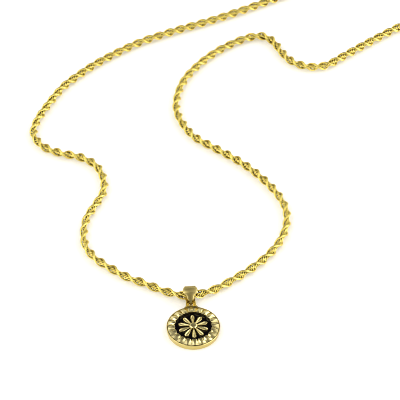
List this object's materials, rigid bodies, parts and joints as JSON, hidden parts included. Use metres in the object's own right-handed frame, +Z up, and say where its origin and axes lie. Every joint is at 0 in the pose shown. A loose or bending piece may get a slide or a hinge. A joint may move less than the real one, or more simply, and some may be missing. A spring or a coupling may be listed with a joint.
{
  "type": "flower medallion pendant on a rope chain",
  "caption": "Round gold medallion with a black enamel field, a raised flower and a lobed rim, hung by a tapered bail on a rope chain that lies flat as a whole necklace.",
  "frame": {"origin": "centre of the medallion's flat back, on the surface that the necklace lies on", "axes": "+Y from the medallion to its bail and along the necklace, +X to the right, +Z up, out of the medallion's face"},
  "size_m": [0.1691, 0.198, 0.0057],
  "materials": {
    "medallion_gold": "polished gold plate with a cut rim",
    "black_enamel": "glossy black enamel",
    "flower_gold": "satin gold plate with bright edges",
    "bail_gold": "satin gold plate",
    "chain_gold": "polished gold plate",
    "fitting_gold": "polished gold plate"
  },
  "bodies": {
    "root": {"medallion": "medallion_gold", "enamel_field": "black_enamel", "flower": "flower_gold", "bail": "bail_gold", "chain_left": "chain_gold", "chain_right": "chain_gold", "end_cap_left": "fitting_gold", "end_cap_right": "fitting_gold", "clasp_ring": "fitting_gold"}
  },
  "joints": []
}
